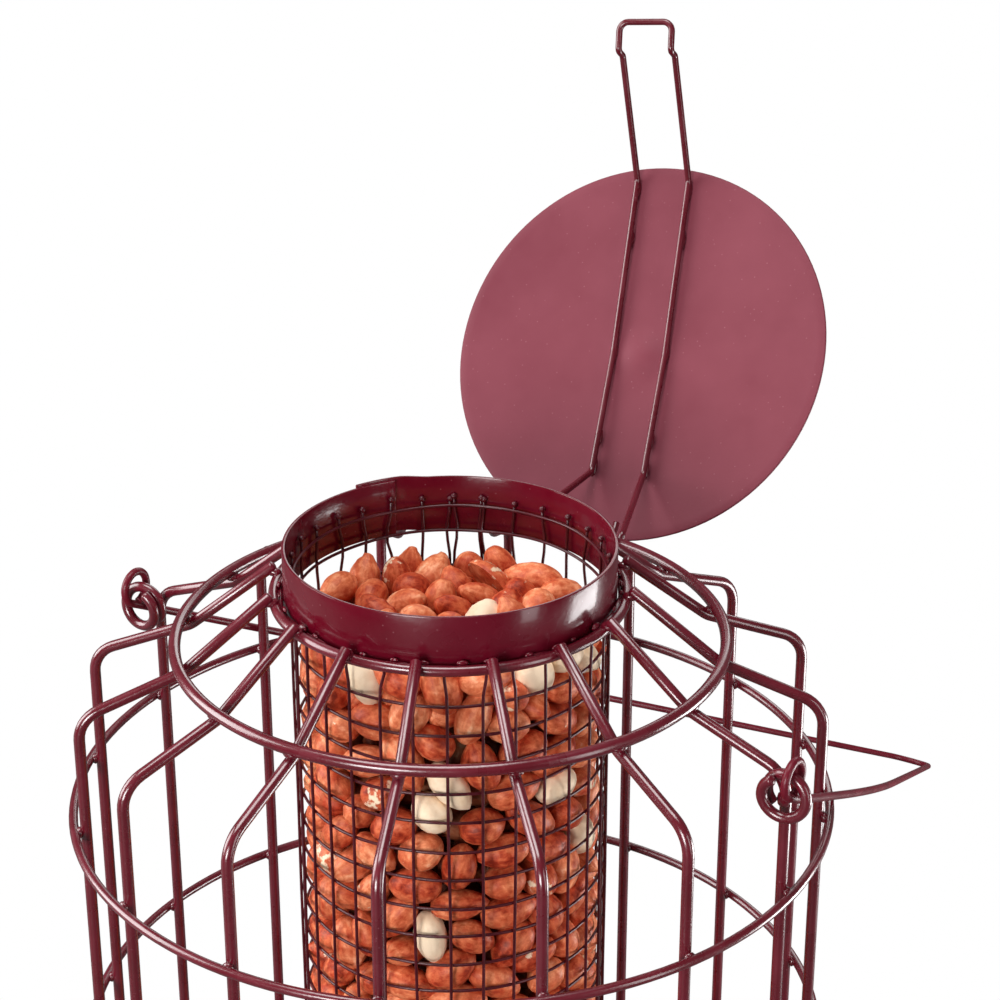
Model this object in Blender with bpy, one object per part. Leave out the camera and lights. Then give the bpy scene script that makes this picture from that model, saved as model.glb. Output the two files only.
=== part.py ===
# Hanging peanut feeder for birds: a wire mesh tube of peanuts in a round cage, with a hinged lid and a bail.
# The origin is at the middle of the foot, +Z is up, and the bail's eyelets stand at -X and +X.

import math

import bmesh
import bpy
from mathutils import Matrix, Vector

MM = 0.001
CLEAR = 0.3 * MM

# Collar round the tube's mouth, a strip of sheet with a lapped seam
RIM_Z = 262.0 * MM
COLLAR_RADIUS = 40.7 * MM
COLLAR_HEIGHT = 15.0 * MM
COLLAR_WALL = 1.1 * MM
SEAM_BEARING = math.radians(150.0)
SEAM_LAP = math.radians(14.0)
SEAM_STEP = math.radians(0.5)
SEAM_RISE = 0.6 * MM

# Mesh tube
MESH_COLUMNS = 20
MESH_ROWS = 20
MESH_WIRE = 1.3 * MM
MESH_TOP_BELOW_RIM = 7.0 * MM
MESH_STUB = 2.6 * MM

# Tray that closes the tube's bottom
TRAY_HEIGHT = 14.0 * MM
TRAY_WALL = 1.1 * MM
TRAY_FLOOR = 1.4 * MM
TRAY_CORNER = 2.0 * MM

# Heap of peanuts in the tube
HEAP_BELOW_COLLAR = 4.0 * MM
HEAP_COLUMNS = 26
HEAP_ROWS = 9
HEAP_LUMP = 1.6 * MM
HEAP_WAVE_SHARES = ((2.4, 1.7), (1.3, -2.1))
HEAP_CROWN = 2.5 * MM
HEAP_CROWN_RINGS = 3

# Cage wires, each bent from the neck over the shoulder and down to the foot
CAGE_WIRES = 16
CAGE_WIRE = 2.8 * MM
CAGE_RADIUS = 91.5 * MM
SHOULDER_Z = 225.0 * MM
CAGE_BEND = 8.0 * MM
RING_STEPS_PER_WIRE = 3

# Rings that hold the cage wires
NECK_WIRE = 2.6 * MM
NECK_BELOW_RIM = 12.5 * MM
UPPER_WIRE = 3.0 * MM
UPPER_RADIUS = 67.3 * MM
UPPER_Z = 237.6 * MM
HOOP_WIRE = 2.3 * MM
SHOULDER_HOOP_Z = 194.0 * MM
HOOP_SPACING = 67.0 * MM
BASE_WIRE = 2.6 * MM

# Eyelets, each a turn of thick wire with lapped ends on the side of a shoulder bend
EYELET_WIRE = 2.7 * MM
EYELET_RADIUS = 5.3 * MM
EYELET_OUT = 2.0 * MM
EYELET_BELOW_SHOULDER = 2.3 * MM
EYELET_TURNS = 1.08
EYELET_START = math.radians(225.0)
EYELET_STEPS = 18

# Bail, one wire bent to a V with slightly bowed arms and an eye at each end
BAIL_WIRE = 1.8 * MM
BAIL_LENGTH = 392.0 * MM
BAIL_EYE_RADIUS = 4.35 * MM
BAIL_EYE_TURN = math.radians(325.0)
BAIL_EYE_STEPS = 12
BAIL_ELBOW = 8.0 * MM
BAIL_ELBOW_BEND = 14.0 * MM
BAIL_APEX_BEND = 7.4 * MM
BAIL_BOW_SHARE = 0.305
BAIL_BOW_WIDTH_SHARE = 0.76
BAIL_BOW_BEND = 60.0 * MM
BAIL_ARM_GAP = 1.5 * MM

# Lid disc, a shallow dome with a small pressing in the middle
LID_RADIUS = 54.2 * MM
LID_SHEET = 0.9 * MM
LID_DOME = 2.5 * MM
LID_SETBACK = 8.0 * MM
LID_PRESSING_RADIUS = 6.0 * MM
LID_PRESSING_DEPTH = 1.0 * MM
LID_STEPS = 34
LID_PRESSING_SHARES = (0.0, 0.6, 1.0)
LID_DOME_SHARES = (0.45, 0.75, 1.0)

# Lid wire, one wire from two hooks on the upper ring under the disc to the latch loop, a little askew
LID_WIRE = 1.8 * MM
LID_WIRE_HALF = 7.7 * MM
HOOK_HALF = 13.0 * MM
HOOK_CLEAR = 0.5 * MM
HOOK_STUB = 5.0 * MM
HOOK_STEPS = 7
LATCH_DROP = 3.4 * MM
LATCH_LENGTH = 8.0 * MM
LATCH_SLOPE = math.radians(16.0)
LATCH_CORNER = 3.0 * MM
LID_WIRE_BEND = 1.6 * MM
HINGE_BEARING = math.radians(93.6)
LID_SKEW = math.radians(-7.0)

# Colours and finish, as red, green, blue, metallic value and roughness
WINE_PAINT = (0.16, 0.015, 0.03, 0.3, 0.3)
PEANUT_SKIN = (0.55, 0.16, 0.06, 0.0, 0.6)

# How finely the resting angles of the bail and the lid are found
SWING_STEP = math.radians(0.1)
BAIL_STEEPEST = math.radians(60.0)
ARM_SPOTS = 100
EDGE_SPOTS = 60
EDGE_SPREAD = math.radians(30.0)
SHOULDER_SPOTS = 6

# How smooth the turned corners and the shading are
CORNER_STEPS = 3
LID_CORNER_STEPS = 2
SMOOTH_UNDER = math.radians(35.0)

WIRE_PITCH = math.tau / CAGE_WIRES
COLLAR_BOTTOM = RIM_Z - COLLAR_HEIGHT
MESH_OUTER = COLLAR_RADIUS - COLLAR_WALL - CLEAR
NECK_RADIUS = COLLAR_RADIUS + SEAM_RISE + CLEAR + NECK_WIRE / 2
NECK_Z = RIM_Z - NECK_BELOW_RIM
FOOT_Z = CAGE_WIRE / 2
HOOP_RADIUS = CAGE_RADIUS + CAGE_WIRE / 2 + CLEAR + HOOP_WIRE / 2
EYELET_X = CAGE_RADIUS + EYELET_OUT
EYELET_PITCH = EYELET_WIRE + CLEAR
EYELET_TOP_TURN = (math.pi / 2 - EYELET_START + math.tau) / math.tau
EYELET_NEAR_Y = -(CAGE_WIRE + EYELET_WIRE) / 2 - CLEAR
EYELET_Z = SHOULDER_Z - EYELET_BELOW_SHOULDER
BAIL_X = CAGE_RADIUS + CAGE_WIRE / 2 + BAIL_ARM_GAP + BAIL_WIRE / 2
BAIL_AXIS_Y = EYELET_NEAR_Y - EYELET_PITCH * EYELET_TOP_TURN
BAIL_AXIS_Z = EYELET_Z + math.sqrt(EYELET_RADIUS ** 2 - (BAIL_X - EYELET_X) ** 2)
HINGE_Y = math.sqrt(UPPER_RADIUS ** 2 - HOOK_HALF ** 2)
HOOK_RADIUS = (UPPER_WIRE + LID_WIRE) / 2 + HOOK_CLEAR


def clear_scene():
    for item in list(bpy.data.objects):
        bpy.data.objects.remove(item, do_unlink=True)


def material(name, finish):
    made = bpy.data.materials.new(name)
    made.use_nodes = True
    shader = made.node_tree.nodes["Principled BSDF"]
    shader.inputs["Base Color"].default_value = (*finish[:3], 1.0)
    shader.inputs["Metallic"].default_value = finish[3]
    shader.inputs["Roughness"].default_value = finish[4]
    return made


def place(name, data, finish, parent=None, location=(0.0, 0.0, 0.0), turn=(0.0, 0.0, 0.0)):
    item = bpy.data.objects.new(name, data)
    item.data.materials.append(material(name + "_finish", finish))
    item.location = location
    item.rotation_euler = turn
    item.parent = parent
    bpy.context.scene.collection.objects.link(item)
    return item


def axle(name, location, turn):
    empty = bpy.data.objects.new(name, None)
    empty.location = location
    empty.rotation_euler = turn
    bpy.context.scene.collection.objects.link(empty)
    return empty


def mesh_data(name, bm):
    data = bpy.data.meshes.new(name)
    bmesh.ops.recalc_face_normals(bm, faces=bm.faces)
    bm.to_mesh(data)
    bm.free()
    data.shade_smooth()
    data.set_sharp_from_angle(angle=SMOOTH_UNDER)
    return data


def wire_data(name, points, wire, closed=False):
    data = bpy.data.curves.new(name, "CURVE")
    data.dimensions = "3D"
    data.bevel_depth = wire / 2
    data.bevel_resolution = 1
    data.use_fill_caps = True
    spline = data.splines.new("POLY")
    spline.points.add(len(points) - 1)
    for spot, point in zip(spline.points, points):
        spot.co = (*point, 1.0)
    spline.use_cyclic_u = closed
    return data


def rounded(points, radii, steps=CORNER_STEPS):
    """The corners of a run of points turned to arcs; a radius of 0 keeps its corner."""
    path = [Vector(points[0])]
    for before, corner, after, radius in zip(points, points[1:], points[2:], radii):
        corner = Vector(corner)
        back = (Vector(before) - corner).normalized()
        ahead = (Vector(after) - corner).normalized()
        half = back.angle(ahead) / 2
        if radius == 0:
            path.append(corner)
            continue
        centre = corner + (back + ahead).normalized() * (radius / math.sin(half))
        start = corner + back * (radius / math.tan(half)) - centre
        axis = start.cross(corner - centre)
        swing = math.pi - 2 * half
        path += [centre + Matrix.Rotation(swing * i / steps, 3, axis) @ start for i in range(steps + 1)]
    path.append(Vector(points[-1]))
    return path


def turned(name, profile, steps):
    """A closed profile of (radius, height) turned round Z; points on the axis are shared."""
    bm = bmesh.new()
    loops = []
    for radius, height in profile:
        if radius == 0:
            loops.append([bm.verts.new((0.0, 0.0, height))] * steps)
            continue
        angles = [math.tau * i / steps for i in range(steps)]
        loops.append([bm.verts.new((radius * math.cos(a), radius * math.sin(a), height)) for a in angles])
    for low, high in zip(loops, loops[1:] + loops[:1]):
        for i in range(steps):
            j = (i + 1) % steps
            corners = list(dict.fromkeys([low[i], low[j], high[j], high[i]]))
            if len(corners) > 2:
                bm.faces.new(corners)
    return mesh_data(name, bm)


def ring(name, radius, height, wire):
    steps = CAGE_WIRES * RING_STEPS_PER_WIRE
    angles = [math.tau * i / steps for i in range(steps)]
    points = [(radius * math.cos(a), radius * math.sin(a), 0.0) for a in angles]
    place(name, wire_data(name, points, wire, closed=True), WINE_PAINT, location=(0.0, 0.0, height))


def collar():
    """A strip bent round the mouth, whose outer end rises over its inner end and stops at a step."""
    steps = CAGE_WIRES * RING_STEPS_PER_WIRE
    columns = []
    for i in range(steps):
        turn = (math.tau - SEAM_STEP) * i / (steps - 1)
        rise = max(0.0, 1.0 - turn / SEAM_LAP) * SEAM_RISE
        columns.append((SEAM_BEARING + turn, COLLAR_RADIUS + rise))
    bm = bmesh.new()
    rings = []
    for bearing, outer in columns:
        inner = COLLAR_RADIUS - COLLAR_WALL
        corners = ((inner, COLLAR_BOTTOM), (inner, RIM_Z), (outer, RIM_Z), (outer, COLLAR_BOTTOM))
        along = Vector((math.cos(bearing), math.sin(bearing), 0.0))
        rings.append([bm.verts.new(along * radius + Vector((0.0, 0.0, z))) for radius, z in corners])
    for this, following in zip(rings, rings[1:] + rings[:1]):
        for i in range(4):
            j = (i + 1) % 4
            bm.faces.new((this[i], this[j], following[j], following[i]))
    place("collar", mesh_data("collar", bm), WINE_PAINT)


def mesh_tube():
    """Crossing wires as one lattice: a ridge outside, flat inside, with free wire ends above the top wire."""
    bottom = TRAY_FLOOR + CLEAR + MESH_WIRE / 2
    top = RIM_Z - MESH_TOP_BELOW_RIM
    inner = MESH_OUTER - MESH_WIRE
    side = MESH_WIRE / 2 / inner
    bm = bmesh.new()

    def vertex(column, row, across, up, radius):
        bearing = math.tau * column / MESH_COLUMNS + across * side
        height = bottom + (top - bottom) * row / MESH_ROWS + up * MESH_WIRE / 2
        return bm.verts.new((radius * math.cos(bearing), radius * math.sin(bearing), height))

    ridge = {}
    corner = {}
    for column in range(MESH_COLUMNS):
        for row in range(MESH_ROWS + 1):
            ridge[column, row] = vertex(column, row, 0, 0, MESH_OUTER)
            for across in (-1, 1):
                for up in (-1, 1):
                    corner[column, row, across, up] = vertex(column, row, across, up, inner)
    for column in range(MESH_COLUMNS):
        after = (column + 1) % MESH_COLUMNS
        for row in range(MESH_ROWS + 1):
            here = ridge[column, row]
            spots = [corner[column, row, a, u] for a, u in ((-1, -1), (1, -1), (1, 1), (-1, 1))]
            bm.faces.new(spots)
            beyond = ridge[after, row]
            for up in (-1, 1):
                bm.faces.new((here, beyond, corner[after, row, -1, up], corner[column, row, 1, up]))
            flat = (corner[column, row, 1, -1], corner[after, row, -1, -1])
            bm.faces.new((*flat, corner[after, row, -1, 1], corner[column, row, 1, 1]))
            if row < MESH_ROWS:
                above = ridge[column, row + 1]
                for across in (-1, 1):
                    low = corner[column, row, across, 1]
                    bm.faces.new((here, above, corner[column, row + 1, across, -1], low))
                low = (corner[column, row, -1, 1], corner[column, row, 1, 1])
                bm.faces.new((*low, corner[column, row + 1, 1, -1], corner[column, row + 1, -1, -1]))
        bm.faces.new((ridge[column, 0], corner[column, 0, -1, -1], corner[column, 0, 1, -1]))
        base = (ridge[column, MESH_ROWS], corner[column, MESH_ROWS, -1, 1], corner[column, MESH_ROWS, 1, 1])
        end = [bm.verts.new(spot.co + Vector((0.0, 0.0, MESH_STUB))) for spot in base]
        bm.faces.new(end)
        for i in range(3):
            j = (i + 1) % 3
            bm.faces.new((base[i], base[j], end[j], end[i]))
    place("mesh_tube", mesh_data("mesh_tube", bm), WINE_PAINT)


def base_tray():
    """A shallow pressed dish that the tube stands in."""
    inner = COLLAR_RADIUS - TRAY_WALL
    profile = (
        (0.0, 0.0),
        (COLLAR_RADIUS - TRAY_CORNER, 0.0),
        (COLLAR_RADIUS, TRAY_CORNER),
        (COLLAR_RADIUS, TRAY_HEIGHT),
        (inner, TRAY_HEIGHT),
        (inner, TRAY_FLOOR),
        (0.0, TRAY_FLOOR),
    )
    place("base_tray", turned("base_tray", profile, CAGE_WIRES * 2), WINE_PAINT)


def peanut_fill():
    """The peanuts as one lumpy heap, as wide as the tube lets it be and uneven on top."""
    inner = MESH_OUTER - MESH_WIRE
    widest = inner * math.cos(math.pi / MESH_COLUMNS) - CLEAR
    bottom = TRAY_FLOOR + CLEAR
    top = COLLAR_BOTTOM - HEAP_BELOW_COLLAR
    bm = bmesh.new()

    def lump(column, row):
        first, second = (across * column + up * row for across, up in HEAP_WAVE_SHARES)
        return HEAP_LUMP * (1 + math.sin(first) * math.cos(second)) / 2

    loops = []
    for row in range(HEAP_ROWS + 1):
        height = bottom + (top - bottom) * row / HEAP_ROWS
        radii = [widest - lump(column, row) for column in range(HEAP_COLUMNS)]
        loops.append([(r, height) for r in radii])
    for crown in range(1, HEAP_CROWN_RINGS + 1):
        share = 1.0 - crown / (HEAP_CROWN_RINGS + 1)
        rise = HEAP_CROWN * (1.0 - share ** 2)
        spots = [(widest * share, top + rise - lump(column, crown)) for column in range(HEAP_COLUMNS)]
        loops.append(spots)
    rings = []
    for spots in loops:
        turns = [math.tau * i / HEAP_COLUMNS for i in range(HEAP_COLUMNS)]
        rings.append([bm.verts.new((r * math.cos(a), r * math.sin(a), z)) for a, (r, z) in zip(turns, spots)])
    for low, high in zip(rings, rings[1:]):
        for i in range(HEAP_COLUMNS):
            j = (i + 1) % HEAP_COLUMNS
            bm.faces.new((low[i], low[j], high[j], high[i]))
    for loop, height in ((rings[0], bottom), (rings[-1], top + HEAP_CROWN)):
        middle = bm.verts.new((0.0, 0.0, height))
        for i in range(HEAP_COLUMNS):
            bm.faces.new((loop[i], loop[(i + 1) % HEAP_COLUMNS], middle))
    place("peanut_fill", mesh_data("peanut_fill", bm), PEANUT_SKIN)


def along(angle):
    return Vector((math.cos(angle), math.sin(angle)))


def above(angle):
    return Vector((-math.sin(angle), math.cos(angle)))


def cage_profile():
    """Corners of a cage wire as (radius, height): over the neck ring, under the upper ring, down to the foot."""
    neck = Vector((NECK_RADIUS, NECK_Z))
    upper = Vector((UPPER_RADIUS, UPPER_Z))
    shoulder = Vector((CAGE_RADIUS, SHOULDER_Z))
    over_neck = (NECK_WIRE + CAGE_WIRE) / 2 + CLEAR
    under_upper = (UPPER_WIRE + CAGE_WIRE) / 2 + CLEAR
    span = upper - neck
    inner_slope = math.atan2(span.y, span.x) - math.asin((over_neck + under_upper) / span.length)
    fall = shoulder - upper
    outer_slope = math.atan2(fall.y, fall.x) + math.asin(under_upper / fall.length)
    first = above(inner_slope)
    second = above(outer_slope)
    kink = upper - (first + second) * (under_upper / (1 + first.dot(second)))
    touch = neck + first * over_neck
    tip_radius = COLLAR_RADIUS + SEAM_RISE + CLEAR + CAGE_WIRE / 2
    tip = touch + along(inner_slope) * ((tip_radius - touch.x) / math.cos(inner_slope))
    foot_tip = COLLAR_RADIUS + 2 * CLEAR
    return (tip, kink, shoulder, Vector((CAGE_RADIUS, FOOT_Z)), Vector((foot_tip, FOOT_Z)))


def cage_wires():
    corners = [Vector((r, 0.0, z)) for r, z in cage_profile()]
    path = rounded(corners, (0.0, CAGE_BEND, CAGE_BEND))
    for i in range(CAGE_WIRES):
        name = f"cage_wire_{i + 1:02d}"
        place(name, wire_data(name, path, CAGE_WIRE), WINE_PAINT, turn=(0.0, 0.0, WIRE_PITCH * i))


def eyelet(name, side):
    """A turn of thick wire in the plane of its cage wire, beside the shoulder bend."""
    points = []
    for i in range(EYELET_STEPS + 1):
        turn = EYELET_TURNS * i / EYELET_STEPS
        angle = EYELET_START - math.tau * turn
        away = EYELET_NEAR_Y - EYELET_PITCH * turn
        points.append((side * EYELET_RADIUS * math.cos(angle), away, EYELET_RADIUS * math.sin(angle)))
    place(name, wire_data(name, points, EYELET_WIRE), WINE_PAINT, location=(side * EYELET_X, 0.0, EYELET_Z))


def bail_arm():
    """One arm's eye from its free end, its elbow, the middle of its bow and the apex, as (x, along, up)."""
    eye = []
    for i in range(BAIL_EYE_STEPS + 1):
        angle = -math.pi / 2 - BAIL_EYE_TURN * (1 - i / BAIL_EYE_STEPS)
        eye.append(Vector((BAIL_X, BAIL_EYE_RADIUS * math.cos(angle), BAIL_EYE_RADIUS * math.sin(angle))))
    elbow = Vector((BAIL_X, BAIL_ELBOW, -BAIL_EYE_RADIUS))
    apex = Vector((0.0, BAIL_LENGTH, 0.0))
    bow = elbow.lerp(apex, BAIL_BOW_SHARE)
    bow.x = BAIL_X * BAIL_BOW_WIDTH_SHARE
    return eye, elbow, bow, apex


def swing_until(first, last, is_clear):
    """The furthest angle from first towards last at which a swinging piece is still clear."""
    steps = round((last - first) / SWING_STEP)
    for i in range(1, steps + 1):
        if not is_clear(first + SWING_STEP * i):
            return first + SWING_STEP * (i - 1)
    return last


def point_gap(point, path):
    """The least distance from a point to a run of straight stretches."""
    least = None
    for a, b in zip(path, path[1:]):
        span = b - a
        share = min(1.0, max(0.0, (point - a).dot(span) / span.length_squared))
        gap = (a + span * share - point).length
        least = gap if least is None else min(least, gap)
    return least


def bail_rest_angle():
    """How far the bail falls below level before its arms lie on the shoulder hoop."""
    _, elbow, bow, apex = bail_arm()
    axis = Vector((0.0, BAIL_AXIS_Y, BAIL_AXIS_Z))
    need = (HOOP_WIRE + BAIL_WIRE) / 2 + CLEAR
    shares = [i / ARM_SPOTS for i in range(ARM_SPOTS + 1)]
    spots = [a.lerp(b, share) for a, b in ((elbow, bow), (bow, apex)) for share in shares]

    def is_clear(angle):
        fall = Matrix.Rotation(-angle, 3, "X")
        points = [axis + fall @ spot for spot in spots]
        return all(math.hypot(p.xy.length - HOOP_RADIUS, p.z - SHOULDER_HOOP_Z) > need for p in points)

    return swing_until(0.0, BAIL_STEEPEST, is_clear)


def hanging_bail():
    eye, elbow, bow, apex = bail_arm()
    right = eye + [elbow, bow]
    left = [Vector((-p.x, p.y, p.z)) for p in reversed(right)]
    bends = [0.0] * (len(eye) - 1) + [BAIL_ELBOW_BEND, BAIL_BOW_BEND]
    path = rounded(right + [apex] + left, bends + [BAIL_APEX_BEND] + bends[::-1])
    pivot = axle("bail_pivot", (0.0, BAIL_AXIS_Y, BAIL_AXIS_Z), (-bail_rest_angle(), 0.0, 0.0))
    place("hanging_bail", wire_data("hanging_bail", path, BAIL_WIRE), WINE_PAINT, parent=pivot)


def dome(radius):
    return LID_DOME * (1 - (radius / LID_RADIUS) ** 2)


def askew(point):
    """A point of the lid as it hangs, turned a little on its hooks."""
    return Matrix.Rotation(LID_SKEW, 3, "Z") @ point


def lid_levels():
    """Where the closed lid's wire and disc lie above the hinge, and where the wire bends, from the hinge."""
    over_rim = RIM_Z - UPPER_Z + CLEAR + LID_WIRE / 2
    middle = HINGE_Y - LID_SETBACK
    reach = COLLAR_RADIUS + SEAM_RISE + CLEAR + LID_WIRE / 2 + LID_WIRE_HALF * abs(math.sin(LID_SKEW))
    low = HINGE_Y - reach
    high = HINGE_Y + reach
    widest = math.hypot(max(high - middle, middle - low), LID_WIRE_HALF)
    edge = over_rim + LID_WIRE / 2 + CLEAR - dome(widest)
    return over_rim, middle, low, high, edge


def lid_open_angle():
    """How far the lid swings back before the disc's edge lies on the cage wires' shoulders."""
    _, middle, _, _, edge = lid_levels()
    corners = [Vector((r, 0.0, z)) for r, z in cage_profile()]
    path = rounded(corners, (0.0, CAGE_BEND, CAGE_BEND))[1:SHOULDER_SPOTS]
    wires = [math.pi / 2 - HINGE_BEARING + WIRE_PITCH * i for i in range(CAGE_WIRES)]
    near = sorted(wires, key=lambda bearing: -math.sin(bearing + math.pi / 2))[:2]
    shoulders = [[Matrix.Rotation(bearing + math.pi / 2, 3, "Z") @ spot for spot in path] for bearing in near]
    need = (CAGE_WIRE + LID_SHEET) / 2 + CLEAR
    hinge = Vector((0.0, HINGE_Y, UPPER_Z))
    centre = askew(Vector((0.0, -middle, edge + LID_SHEET / 2)))
    rim = []
    for i in range(EDGE_SPOTS + 1):
        around = EDGE_SPREAD * (2 * i / EDGE_SPOTS - 1)
        rim.append(centre + LID_RADIUS * Vector((math.sin(around), math.cos(around), 0.0)))

    def is_clear(angle):
        swing = Matrix.Rotation(-angle, 3, "X")
        spots = [hinge + swing @ spot for spot in rim]
        return all(point_gap(spot, shoulder) > need for spot in spots for shoulder in shoulders)

    return swing_until(math.pi / 2, math.pi, is_clear)


def lid_disc(pivot):
    """A shallow dome turned round its own middle, with the pressing sunk into its top."""
    _, middle, _, _, edge = lid_levels()
    under = []
    for share in LID_PRESSING_SHARES:
        radius = LID_PRESSING_RADIUS * share
        under.append((radius, edge + dome(radius) - LID_PRESSING_DEPTH * (1 - share ** 2)))
    for share in LID_DOME_SHARES:
        radius = LID_RADIUS * share
        under.append((radius, edge + dome(radius)))
    over = [(radius, height + LID_SHEET) for radius, height in reversed(under)]
    data = turned("lid_disc", under + over, LID_STEPS)
    place("lid_disc", data, WINE_PAINT, parent=pivot, location=askew(Vector((0.0, -middle, 0.0))))


def latch_corners(far, level):
    """From the last bend down past the upper ring, a step down outside it, and out to the loop's end."""
    start = Vector((far, level))
    ring_at = Vector((HINGE_Y + math.sqrt(UPPER_RADIUS ** 2 - LID_WIRE_HALF ** 2), 0.0))
    over = (UPPER_WIRE + LID_WIRE) / 2 + CLEAR
    fall = ring_at - start
    slope = math.atan2(fall.y, fall.x) + math.asin(over / fall.length)
    step = ring_at.x + over
    brink = start + along(slope) * ((step - start.x) / math.cos(slope))
    foot = brink - Vector((0.0, LATCH_DROP))
    end = foot + along(-LATCH_SLOPE) * LATCH_LENGTH
    return brink, foot, end


def lid_wire(pivot):
    """One wire from hook to hook, in the closed lid's place: local -Y runs from the hinge to the latch."""
    over_rim, middle, low, high, edge = lid_levels()
    hook = []
    for i in range(HOOK_STEPS + 1):
        angle = math.pi * (1.5 - i / HOOK_STEPS)
        hook.append(Vector((HOOK_HALF, -HOOK_RADIUS * math.cos(angle), HOOK_RADIUS * math.sin(angle))))
    stub = Vector((HOOK_HALF, -HOOK_STUB, -HOOK_RADIUS))
    brink, foot, end = latch_corners(high, over_rim)
    under_dome = edge + LID_DOME - CLEAR - LID_WIRE / 2
    hook = [stub, *hook, Vector((HOOK_HALF, -HOOK_RADIUS, HOOK_RADIUS))]
    run = [(low, over_rim), (middle, under_dome), (high, over_rim), brink, foot, end]
    run = [Vector((LID_WIRE_HALF, -away, up)) for away, up in run]
    others = [[Vector((-p.x, p.y, p.z)) for p in reversed(points)] for points in (run, hook)]
    points = hook + [askew(p) for p in run + others[0]] + others[1]
    bends = [0.0] * (len(hook) + 2) + [LID_WIRE_BEND, LID_WIRE_BEND, LATCH_CORNER]
    path = rounded(points, bends + bends[::-1], steps=LID_CORNER_STEPS)
    place("lid_wire", wire_data("lid_wire", path, LID_WIRE), WINE_PAINT, parent=pivot)


def lid():
    bearing = HINGE_BEARING - math.pi / 2
    hinge = Matrix.Rotation(bearing, 3, "Z") @ Vector((0.0, HINGE_Y, UPPER_Z))
    pivot = axle("lid_pivot", hinge, (-lid_open_angle(), 0.0, bearing))
    lid_disc(pivot)
    lid_wire(pivot)


def build():
    clear_scene()
    collar()
    mesh_tube()
    base_tray()
    peanut_fill()
    ring("neck_ring", NECK_RADIUS, NECK_Z, NECK_WIRE)
    ring("upper_ring", UPPER_RADIUS, UPPER_Z, UPPER_WIRE)
    for i, name in enumerate(("shoulder_hoop", "middle_hoop", "lower_hoop")):
        ring(name, HOOP_RADIUS, SHOULDER_HOOP_Z - HOOP_SPACING * i, HOOP_WIRE)
    ring("base_ring", COLLAR_RADIUS + CLEAR + BASE_WIRE / 2, CAGE_WIRE + CLEAR + BASE_WIRE / 2, BASE_WIRE)
    cage_wires()
    eyelet("eyelet_left", -1)
    eyelet("eyelet_right", 1)
    hanging_bail()
    lid()


build()
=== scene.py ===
import math
import random

import bpy
import numpy as np
from mathutils import Matrix, Vector


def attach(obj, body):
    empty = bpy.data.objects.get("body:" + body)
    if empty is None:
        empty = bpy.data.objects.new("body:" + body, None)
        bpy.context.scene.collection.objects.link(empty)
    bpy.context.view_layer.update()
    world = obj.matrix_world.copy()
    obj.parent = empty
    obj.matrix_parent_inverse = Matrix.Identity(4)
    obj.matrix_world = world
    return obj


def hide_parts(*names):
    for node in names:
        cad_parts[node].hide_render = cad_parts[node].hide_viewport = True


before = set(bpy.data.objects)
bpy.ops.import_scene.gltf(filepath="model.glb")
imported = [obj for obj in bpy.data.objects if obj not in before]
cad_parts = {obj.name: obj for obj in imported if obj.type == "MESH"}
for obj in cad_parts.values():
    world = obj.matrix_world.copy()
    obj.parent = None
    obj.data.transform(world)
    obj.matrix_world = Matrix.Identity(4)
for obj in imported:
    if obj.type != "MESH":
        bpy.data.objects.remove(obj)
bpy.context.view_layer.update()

mm = 0.001


# small helpers for selecting, finishing and joining

def onlyThis(piece):
    if bpy.context.mode != "OBJECT":
        bpy.ops.object.mode_set(mode="OBJECT")
    bpy.ops.object.select_all(action="DESELECT")
    piece.select_set(True)
    bpy.context.view_layer.objects.active = piece


def editing(piece, chosen="DESELECT"):
    onlyThis(piece)
    bpy.ops.object.mode_set(mode="EDIT")
    bpy.ops.mesh.select_mode(type="VERT")
    bpy.ops.mesh.select_all(action=chosen)


def pickVertices(piece, test):
    # leaves the piece in edit mode with only the vertices that pass the test selected
    editing(piece)
    bpy.ops.object.mode_set(mode="OBJECT")
    for vertex in piece.data.vertices:
        vertex.select = bool(test(vertex.co))
    bpy.ops.object.mode_set(mode="EDIT")


def applied(piece, kind, **values):
    onlyThis(piece)
    bpy.ops.object.modifier_add(type=kind)
    step = piece.modifiers[-1]
    for key, value in values.items():
        setattr(step, key, value)
    bpy.ops.object.modifier_apply(modifier=step.name)


def tidied(piece, smoothUnder=None):
    # merged seams, normals outwards, smooth faces with sharp corners kept where asked
    editing(piece, "SELECT")
    bpy.ops.mesh.remove_doubles(threshold=0.000002)
    bpy.ops.mesh.normals_make_consistent(inside=False)
    onlyThis(piece)
    if smoothUnder is None:
        bpy.ops.object.shade_smooth()
    else:
        bpy.ops.object.shade_smooth_by_angle(angle=math.radians(smoothUnder))
    return piece


def joined(name, pieces):
    onlyThis(pieces[0])
    for piece in pieces:
        piece.select_set(True)
    if len(pieces) > 1:
        bpy.ops.object.join()
    pieces[0].name = name
    pieces[0].data.name = name
    return pieces[0]


def copyAt(base, place):
    twin = base.copy()
    twin.data = base.data.copy()
    twin.data.transform(place)
    bpy.context.scene.collection.objects.link(twin)
    return twin


def thrownAway(piece):
    bpy.data.objects.remove(piece, do_unlink=True)


def handIn(piece, material, slot, body, *nodes):
    piece.data.materials.clear()
    piece.data.materials.append(material)
    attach(piece, body)
    if nodes:
        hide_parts(*nodes)
    return piece


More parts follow.
